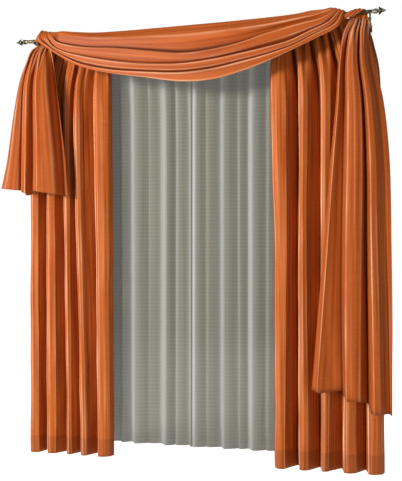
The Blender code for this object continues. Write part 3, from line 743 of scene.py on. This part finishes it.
def voile_section(share):
    """Five columns a fold: the steep face's start, middle and crest, and two on the wide face."""
    left, right, front, back, pale = np.array(VOILE_FOLDS).T
    sway = VOILE_SWAY * share * np.sin(9 * left)
    left, right = left + sway, right + sway
    next_left = np.append(left[1:], VOILE_END[0])
    next_back = np.append(back[1:], VOILE_END[1])
    wide = next_left - right
    x = np.stack([left, (left + right) / 2, right]
                 + [right + at * wide for at, deep in WIDE_FACE], -1)
    y = np.stack([back, (front + back) / 2, front]
                 + [front + deep * (next_back - front) for at, deep in WIDE_FACE], -1)
    return np.append(x.ravel(), VOILE_END[0]), np.append(y.ravel(), VOILE_END[1])


def voile():
    """The sheer: its net, its smooth sheet and the painted highlight of each of its columns."""
    count = len(voile_section(0.0)[0])
    net = hanging_net(voile_section, VOILE_HEADING, VOILE_ROD_Y, VOILE_THICKNESS,
                      np.arange(count) % 2, VOILE_ROWS)
    steps = 5
    grid = surface(net, 6, steps, VOILE_CRISP)
    # How strong the painted highlight is on each column of a fold
    pale = np.zeros((len(VOILE_FOLDS), 5))
    pale[:, 1] = np.array(VOILE_FOLDS)[:, 4]
    pale[:, 0] = pale[:, 2] = EDGE_HIGHLIGHT_SHARE * pale[:, 1]
    pale[:, 3] = FACE_HIGHLIGHT_SHARE * pale[:, 1]
    marks = curve_weights(count, np.linspace(0, count - 1, (count - 1) * steps + 1))
    across = np.clip(marks @ np.append(pale.ravel(), 0.0), 0, 1)
    highlight_grid = np.broadcast_to(across, grid.shape[:2])
    return cloth("voile_curtain", grid, VOILE_THICKNESS, grey_voile, pale=highlight_grid)


sheer = voile()

# %% [markdown]
# The scarf is one piece of cloth about five metres long. From its left tail it comes up
# behind the rod, goes over it in a bunch of pleats, hangs in front as the swag, is drawn up
# at the right, goes once round the rod and falls behind it as the long tail. So its net
# runs along that whole way: each row is a section across the cloth.

# %% The scarf's sections
SCARF_COLUMNS = 16
SCARF_CRISP = 0.6

SWAG_LINE_NAMES = ("top", "ridge_a", "ridge_b", "ridge_c", "ridge_d", "low", "stand_out")
SWAG_LINES = np.array([
    # x, then the height of each line, and how far the swag stands out there
    (-0.900, 0.054, 0.040, 0.022, 0.006, -0.008, -0.018, 0.45),
    (-0.800, 0.045, 0.018, -0.024, -0.058, -0.076, -0.090, 0.55),
    (-0.700, 0.032, 0.000, -0.060, -0.112, -0.145, -0.156, 0.70),
    (-0.560, 0.018, -0.026, -0.088, -0.150, -0.205, -0.222, 0.85),
    (-0.370, 0.013, -0.040, -0.108, -0.194, -0.242, -0.260, 0.95),
    (-0.200, 0.013, -0.047, -0.140, -0.216, -0.262, -0.292, 1.00),
    (-0.030, 0.013, -0.054, -0.163, -0.224, -0.277, -0.322, 1.00),
    (0.130, 0.013, -0.053, -0.156, -0.216, -0.272, -0.328, 1.00),
    (0.300, 0.014, -0.046, -0.128, -0.192, -0.243, -0.294, 0.95),
    (0.450, 0.016, -0.035, -0.084, -0.166, -0.210, -0.244, 0.85),
    (0.580, 0.019, -0.018, -0.055, -0.134, -0.170, -0.190, 0.72),
    (0.680, 0.030, -0.002, -0.034, -0.088, -0.122, -0.146, 0.60),
    (0.760, 0.036, 0.006, -0.018, -0.052, -0.080, -0.104, 0.50),
    (0.850, 0.028, 0.006, -0.010, -0.030, -0.046, -0.062, 0.42),
])
# Where each section of the swag crosses its top and its lower edge
SWAG_SECTIONS = [(-0.735, -0.845), (-0.650, -0.760), (-0.540, -0.630), (-0.390, -0.450),
                 (-0.210, -0.240), (-0.030, -0.030), (0.130, 0.150), (0.280, 0.320),
                 (0.400, 0.470), (0.500, 0.600), (0.580, 0.715), (0.640, 0.825)]
# The columns on the swag's face, from its first ridge to its edge, which is tucked back
SWAG_FACE = [
    # from this line, towards this line, by this share, raised by, and where the swag stands
    # out fully the depth in front of the rod's axis, on its left part and on its right part
    ("ridge_a", "ridge_a", 0.00, 0.0, -0.045, -0.045),
    ("ridge_b", "ridge_a", 0.22, 0.0, -0.036, -0.010),
    ("ridge_b", "ridge_b", 0.00, 0.0, -0.072, -0.074),
    ("ridge_b", "ridge_c", 0.60, 0.0, -0.068, -0.066),
    ("ridge_c", "ridge_b", 0.22, 0.0, -0.060, -0.026),
    ("ridge_c", "ridge_c", 0.00, 0.0, -0.092, -0.092),
    ("ridge_c", "ridge_d", 0.58, 0.0, -0.084, -0.086),
    ("ridge_d", "ridge_c", 0.25, 0.0, -0.050, -0.066),
    ("ridge_d", "ridge_d", 0.00, 0.0, -0.104, -0.104),
    ("low", "low", 0.00, 0.0, -0.096, -0.096),
    ("low", "ridge_d", 0.30, 0.010, -0.060, -0.060),
]
SWAG_PARTS_X = (-0.250, 0.250)
# The flap behind the rod: how far behind its seat, its height, and its drop where the swag
# stands out fully
FLAP_BACK, FLAP_TOP, FLAP_DROP = 0.004, 0.021, 0.073
# Columns over the rod: angle from its back, and share of the top line's height above the axis
CROWN_COLUMNS = [(2, 58, 1.00), (3, 120, 1.08)]
# The column between the crown and the first ridge: depth, and weight of the ridge in its height
BROW_Y = -0.027
BROW_WEIGHT = 1.2
SEAT_HALF_STEP = 20
# Distance from the rod's axis of each column of the gathered cloth
PLEATS_LEFT = np.array([0.014, 0.030, 0.040, 0.041, 0.043, 0.044, 0.043, 0.046,
                        0.047, 0.045, 0.050, 0.052, 0.051, 0.058, 0.046, 0.016])
PLEATS_RIGHT = np.array([0.014, 0.016, 0.025, 0.031, 0.038, 0.038, 0.032, 0.035,
                         0.033, 0.027, 0.029, 0.026, 0.020, 0.022, 0.019, 0.014])
PLEATS_TURN = np.array([0.0110, 0.014, 0.016, 0.014, 0.017, 0.020, 0.019, 0.016,
                        0.018, 0.021, 0.020, 0.016, 0.015, 0.017, 0.016, 0.0112])
TURN_SAG = 0.55
# Angle round the rod, from its back over its top, at which each column leaves the gather
LEAVE_ANGLE = np.array([-15, 15, 50, 90, 125, 145, 155, 160,
                        165, 170, 174, 178, 182, 186, 190, 194])
# A tail's columns, from its inner edge to its outer edge: share of its width and depth,
# and at the hem how much higher than a straight line the cloth ends
TAIL_LEFT_TOP = np.array([
    (0.000, -0.006), (0.035, 0.012), (0.085, 0.036), (0.230, -0.026), (0.400, -0.046),
    (0.454, -0.050), (0.528, -0.042), (0.592, -0.026), (0.628, -0.004), (0.666, -0.034),
    (0.724, -0.044), (0.830, -0.034), (0.862, -0.006), (0.885, -0.030), (0.930, -0.034),
    (1.000, -0.018)])
TAIL_LEFT_HEM = np.array([
    (0.000, -0.012, 0.000), (0.045, 0.008, 0.002), (0.090, 0.034, 0.004),
    (0.185, -0.030, 0.005), (0.366, -0.056, 0.012), (0.408, -0.062, 0.012),
    (0.464, -0.050, 0.012), (0.505, -0.026, 0.012), (0.542, -0.004, -0.010),
    (0.584, -0.038, -0.024), (0.604, -0.052, -0.016), (0.676, -0.034, -0.008),
    (0.712, 0.004, 0.000), (0.748, -0.026, -0.006), (0.910, -0.048, -0.003),
    (1.000, -0.020, 0.000)])
TAIL_RIGHT_TOP = np.array([
    (0.000, -0.026), (0.050, -0.044), (0.086, -0.036), (0.178, -0.004), (0.208, -0.026),
    (0.260, -0.052), (0.400, -0.054), (0.525, -0.038), (0.552, -0.002), (0.578, 0.020),
    (0.606, -0.026), (0.650, -0.052), (0.740, -0.046), (0.800, -0.030), (0.880, -0.004),
    (1.000, 0.014)])
TAIL_RIGHT_HEM = np.array([
    (0.000, -0.030, 0.000), (0.070, -0.050, 0.000), (0.100, -0.044, 0.000),
    (0.380, -0.004, 0.023), (0.398, -0.026, 0.018), (0.435, -0.054, -0.009),
    (0.529, -0.056, -0.002), (0.606, -0.046, 0.008), (0.655, -0.010, 0.007),
    (0.705, 0.024, 0.005), (0.742, -0.034, -0.029), (0.780, -0.054, -0.022),
    (0.856, -0.044, -0.016), (0.926, -0.006, -0.008), (0.969, 0.004, 0.000),
    (1.000, -0.012, 0.000)])
LEFT_TAIL_ROWS = [
    # z, inner_x, outer_x, how far its columns have spread, how deep its folds are, hem_share
    (-0.024, -0.843, -0.937, 0.15, 0.12, 0.0), (-0.055, -0.840, -0.974, 0.45, 0.30, 0.0),
    (-0.110, -0.828, -0.996, 0.80, 0.60, 0.0),
    (-0.250, -0.806, -1.036, 1.00, 1.00, 0.1), (-0.450, -0.778, -1.074, 1.00, 1.00, 0.4),
    (-0.700, -0.746, -1.112, 1.00, 1.00, 0.7),
]
LEFT_HEM = (-0.925, -0.866, -0.728, -1.149)
RIGHT_TAIL_ROWS = [
    # z, inner_x, outer_x, how far its columns have spread, how deep its folds are, hem_share
    (-0.024, 0.888, 0.970, 0.20, 0.20, 0.0), (-0.055, 0.874, 0.980, 0.55, 0.50, 0.0),
    (-0.120, 0.843, 0.984, 0.85, 0.80, 0.0),
    (-0.260, 0.818, 1.000, 1.00, 0.90, 0.0), (-0.480, 0.804, 1.050, 1.00, 1.00, 0.0),
    (-0.800, 0.774, 1.080, 1.00, 1.00, 0.2), (-1.200, 0.744, 1.088, 1.00, 1.00, 0.4),
    (-1.620, 0.709, 1.093, 1.00, 1.00, 0.7),
]
RIGHT_HEM = (-1.985, -2.112, 0.679, 1.092)
TAIL_TOP_Y = 0.026
TAIL_PLEATS = 9.0
TAIL_PLEAT_RISE = 0.0065
# Metres below the rod's axis between which the tails' small pleats grow and fade
PLEATS_GROW, PLEATS_FADE = (0.010, 0.050), (0.20, 0.05)
# Angle at which the cloth lies behind the rod, where both gathers begin
BEHIND_ROD = -10
# Where the gathered cloth crosses the rod between the back, 0, and the swag, 1
GATHER_LEFT = [
    # part, inner_x, outer_x, how its columns crowd (above 1 to the inside), pleats stand out
    (0.0, -0.842, -0.934, 1.0, 0.50), (0.33, -0.832, -0.908, 1.3, 0.85),
    (0.66, -0.815, -0.904, 1.8, 1.00), (1.0, -0.795, -0.928, 2.2, 1.00),
]
GATHER_RIGHT = [
    # part, left_x, right_x, how its columns crowd (below 1 towards right_x)
    (1.0, 0.690, 0.846, 0.5), (0.66, 0.712, 0.850, 0.6), (0.33, 0.730, 0.855, 0.7),
]
TURN_ROWS = [
    # degrees round the rod, left_x, right_x
    (-10, 0.735, 0.860), (-70, 0.785, 0.880), (-130, 0.840, 0.910), (-190, 0.862, 0.936),
    (-250, 0.880, 0.954), (-310, 0.892, 0.962), (-365, 0.900, 0.966),
]


# %% [markdown]
# Three kinds of section make the scarf: across the swag, round the rod, and across a tail.

# %% Sections of the scarf
def along(low, high):
    """One value for each column of the scarf, evenly spaced."""
    return np.linspace(low, high, SCARF_COLUMNS)


def crowded(first, last, crowd):
    """Columns from first to last whose even shares are raised to a power."""
    return first + (last - first) * along(0.0, 1.0) ** crowd


def swag_row(x_top, x_low):
    """From the short flap behind the rod over it and down the swag's folds to its edge."""
    x = along(x_top, x_low)
    line = {name: np.interp(x, SWAG_LINES[:, 0], column)
            for name, column in zip(SWAG_LINE_NAMES, SWAG_LINES.T[1:])}
    seat = (FRONT_ROD_RADIUS + GAP + SCARF_THICKNESS / 2) / math.cos(math.radians(SEAT_HALF_STEP))
    crown = np.maximum(line["top"], seat)
    y, z = np.empty(SCARF_COLUMNS), np.empty(SCARF_COLUMNS)
    y[0], z[0] = seat + FLAP_BACK, FLAP_TOP - FLAP_DROP * line["stand_out"][0]
    y[1], z[1] = seat, 0.0
    for column, degrees, share in CROWN_COLUMNS:
        y[column] = share * crown[column] * math.cos(math.radians(degrees))
        z[column] = share * crown[column] * math.sin(math.radians(degrees))
    y[4] = BROW_Y
    z[4] = (line["top"][4] + BROW_WEIGHT * line["ridge_a"][4]) / (1 + BROW_WEIGHT)
    for column, (start, towards, share, raised, *depths) in enumerate(SWAG_FACE, start=5):
        height = line[start] + share * (line[towards] - line[start]) + raised
        y[column] = np.interp(x[column], SWAG_PARTS_X, depths) * line["stand_out"][column]
        z[column] = height[column]
    return np.stack([x, y, z], -1)


def gathered_row(x, degrees, pleats):
    """Pleats lying round the rod at an angle, given for the row or for each column."""
    angle = np.radians(degrees)
    return np.stack([x, pleats * np.cos(angle), pleats * np.sin(angle)], -1)


def tail_row(z, edges, profile, spread=1.0, depth_share=1.0):
    """A tail's section: near the top its columns are even and drawn in behind the rod."""
    even = along(0.0, 1.0)
    x = edges[0] + (edges[1] - edges[0]) * (even + (profile[:, 0] - even) * spread)
    y = TAIL_TOP_Y + (profile[:, 1] - TAIL_TOP_Y) * depth_share
    return np.stack([x, y, np.broadcast_to(z, x.shape)], -1)


def tail(top, hem, table, hem_line):
    """A tail's sections from the rod down to its hem."""
    rows = []
    for z, inner, outer, spread, depth_share, hem_share in table:
        profile = top + (hem[:, :2] - top) * hem_share
        rows.append(tail_row(z, (inner, outer), profile, spread, depth_share))
    inner_z, outer_z, inner_x, outer_x = hem_line
    rows.append(tail_row(along(inner_z, outer_z) + hem[:, 2], (inner_x, outer_x), hem))
    return rows


def scarf_net():
    """Every section from the left tail's hem to the right tail's hem, in order."""
    rows = tail(TAIL_LEFT_TOP, TAIL_LEFT_HEM, LEFT_TAIL_ROWS, LEFT_HEM)[::-1]
    for part, inner, outer, crowd, bunch in GATHER_LEFT:
        angle = BEHIND_ROD + (LEAVE_ANGLE - BEHIND_ROD) * part
        pleats = PLEATS_LEFT[0] + (PLEATS_LEFT - PLEATS_LEFT[0]) * bunch
        rows.append(gathered_row(crowded(inner, outer, crowd), angle, pleats))
    rows += [swag_row(*section) for section in SWAG_SECTIONS]
    for part, left, right, crowd in GATHER_RIGHT:
        angle = BEHIND_ROD + (LEAVE_ANGLE - BEHIND_ROD) * part
        rows.append(gathered_row(crowded(left, right, crowd), angle, PLEATS_RIGHT))
    for degrees, left, right in TURN_ROWS:
        sag = 1 + TURN_SAG * max(0.0, -math.sin(math.radians(degrees)))
        pleats = PLEATS_TURN[0] + (PLEATS_TURN - PLEATS_TURN[0]) * sag
        rows.append(gathered_row(along(left, right), degrees, pleats))
    rows += tail(TAIL_RIGHT_TOP, TAIL_RIGHT_HEM, RIGHT_TAIL_ROWS, RIGHT_HEM)
    return np.array(rows)


def crushed(grid, steps):
    """Small pleats where the tails leave the rod, deepest 5 cm below it and gone at 20 cm.

    Their height is a sum of two sines across the cloth, so no two pleats are alike.
    """
    rows, columns = grid.shape[:2]
    row = np.arange(rows)
    right_start = rows - 1 - steps * len(RIGHT_TAIL_ROWS)
    in_tail = (row < steps * (len(LEFT_TAIL_ROWS) + 1)) | (row > right_start)
    below = -grid[..., 2]
    share = fade(below, *PLEATS_GROW) * fade(below, *PLEATS_FADE)
    turns = np.linspace(0, 1, columns) * TAIL_PLEATS
    rise = np.sin(2 * math.pi * turns) + 0.6 * np.sin(2 * math.pi * (0.61 * turns + 0.2))
    height = TAIL_PLEAT_RISE * rise * share * in_tail[:, None]
    return grid + normals(grid) * height[..., None]


def scarf():
    """The scarf: its net, its smooth sheet and the small pleats of its tails."""
    steps = 8
    grid = crushed(surface(scarf_net(), steps, steps, SCARF_CRISP), steps)
    # How sharply the scarf bends gives its crests' painted highlight and its valleys' painted shade
    return cloth("scarf_valance", grid, SCARF_THICKNESS, scarf_taffeta, crease=creases(grid))


valance = scarf()

# %% [markdown]
# The brackets' solids already have their shape, a notched arm on a wall plate, so they stay
# and only take the bronze.

# %% Brackets
for side in ("left", "right"):
    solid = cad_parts["bracket_" + side]
    solid.data.materials.clear()
    solid.data.materials.append(bronze)
    print("bracket_" + side, "takes", bronze.name)

# %% [markdown]
# A plain pale floor, a white surround and two soft lights. The key stands to the front
# left, as high as the rod, which lights each fold's left side and leaves its right side in
# shade. The weaker light shows the back of the curtains to a camera behind them, and the
# surround gives the rest a low, even fill.

# %% Floor and light
FLOOR_Z = -2.500
FLOOR_SIZE = 400.0
LIGHT_AIM = (0.0, 0.0, -0.9)
LIGHTS = [
    # name, place, size in metres, watts
    ("key", (-4.0, -6.2, 0.0), 1.4, 670.0),
    ("back", (3.0, 6.0, 1.5), 3.0, 260.0),
]
# Light given to other things, and what the eye sees
SURROUND_GLOW = (0.30, 1.0)
FLOOR_GLOW = (0.10, 0.74)


def aim(light, target):
    """Turns the light so that its own -Z axis points at the target."""
    line = np.array(target) - np.array(light.location)
    light.rotation_euler = (math.acos(-line[2] / np.linalg.norm(line)), 0.0,
                            math.atan2(line[1], line[0]) - math.pi / 2)


def glow(tree, given, seen):
    """One strength for the light given to other things and another for what the eye sees."""
    path = node(tree, "ShaderNodeLightPath")
    strength = node(tree, "ShaderNodeMapRange",
                    {"Value": path.outputs["Is Camera Ray"], "To Min": given, "To Max": seen})
    return strength.outputs[0]


def floor_paint():
    """Matt pale paint that glows a little, so that the floor looks evenly lit."""
    finish, tree, shader = finish_named("pale_matt_paint")
    shader.inputs["Base Color"].default_value = linear("#f4f3f1")
    shader.inputs["Roughness"].default_value = 0.9
    shader.inputs["Emission Color"].default_value = linear("#ffffff")
    tree.links.new(glow(tree, *FLOOR_GLOW), shader.inputs["Emission Strength"])
    return finish


corner = FLOOR_SIZE / 2
floor_points = np.array([(-corner, -corner, FLOOR_Z), (corner, -corner, FLOOR_Z),
                         (corner, corner, FLOOR_Z), (-corner, corner, FLOOR_Z)])
floor = mesh_piece("floor", floor_points, [[0, 1, 2, 3]], floor_paint())

for name, place, size, watts in LIGHTS:
    lamp = bpy.data.lights.new(name, "AREA")
    lamp.size = size
    lamp.energy = watts
    light = bpy.data.objects.new(name, lamp)
    light.location = place
    aim(light, LIGHT_AIM)
    bpy.context.scene.collection.objects.link(light)

world = bpy.data.worlds.new("studio")
world.use_nodes = True
bpy.context.scene.world = world
surround = world.node_tree
surround.links.new(glow(surround, *SURROUND_GLOW),
                   surround.nodes["Background"].inputs["Strength"])
surround.nodes["Background"].inputs["Color"].default_value = (1.0, 1.0, 1.0, 1.0)
bpy.context.scene.view_settings.view_transform = "Standard"
print("floor at", FLOOR_Z, "m,", len(LIGHTS), "lights")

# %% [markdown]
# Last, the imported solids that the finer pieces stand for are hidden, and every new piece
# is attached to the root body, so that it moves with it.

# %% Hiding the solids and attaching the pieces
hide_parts("front_rod")
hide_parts("panel_rod")
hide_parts("voile_rod")
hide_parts("voile")
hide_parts("scarf")
for side in ("left", "right"):
    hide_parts("finial_" + side)
    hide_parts("panel_" + side)

cloths = [panels["left"], panels["right"], valance]
hardware = [front_rod, panel_rod, voile_rod, finials["left"], finials["right"]]
for piece in cloths + [sheer] + hardware:
    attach(piece, "root")
